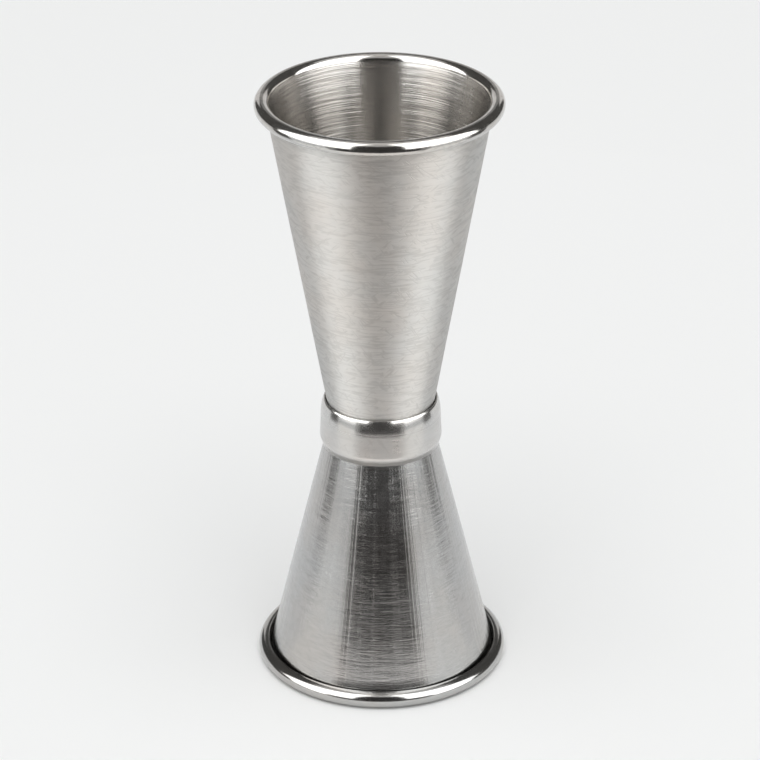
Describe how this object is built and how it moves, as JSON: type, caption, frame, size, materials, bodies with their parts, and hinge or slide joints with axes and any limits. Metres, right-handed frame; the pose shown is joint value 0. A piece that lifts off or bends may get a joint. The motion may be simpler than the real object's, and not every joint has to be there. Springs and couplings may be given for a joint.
{
  "type": "bar jigger",
  "caption": "Double-ended bar jigger: a larger and a smaller conical steel cup joined base to base under a collar, with curled rims.",
  "frame": {"origin": "centre of the lower rim's resting land, on the axis of the cups", "axes": "+Z along the axis of both cups, from the smaller cup's rim to the larger cup's rim. Every direction across the axis is alike."},
  "size_m": [0.0524, 0.0524, 0.127],
  "materials": {
    "cup_steel": "satin stainless steel, brushed around the axis, with polished rims",
    "collar_steel": "satin stainless steel band with polished edges",
    "braze_filler": "silver brazing alloy, as brazed"
  },
  "bodies": {
    "root": {"upper_cup": "cup_steel", "lower_cup": "cup_steel", "collar_band": "collar_steel", "base_braze": "braze_filler"}
  },
  "joints": []
}
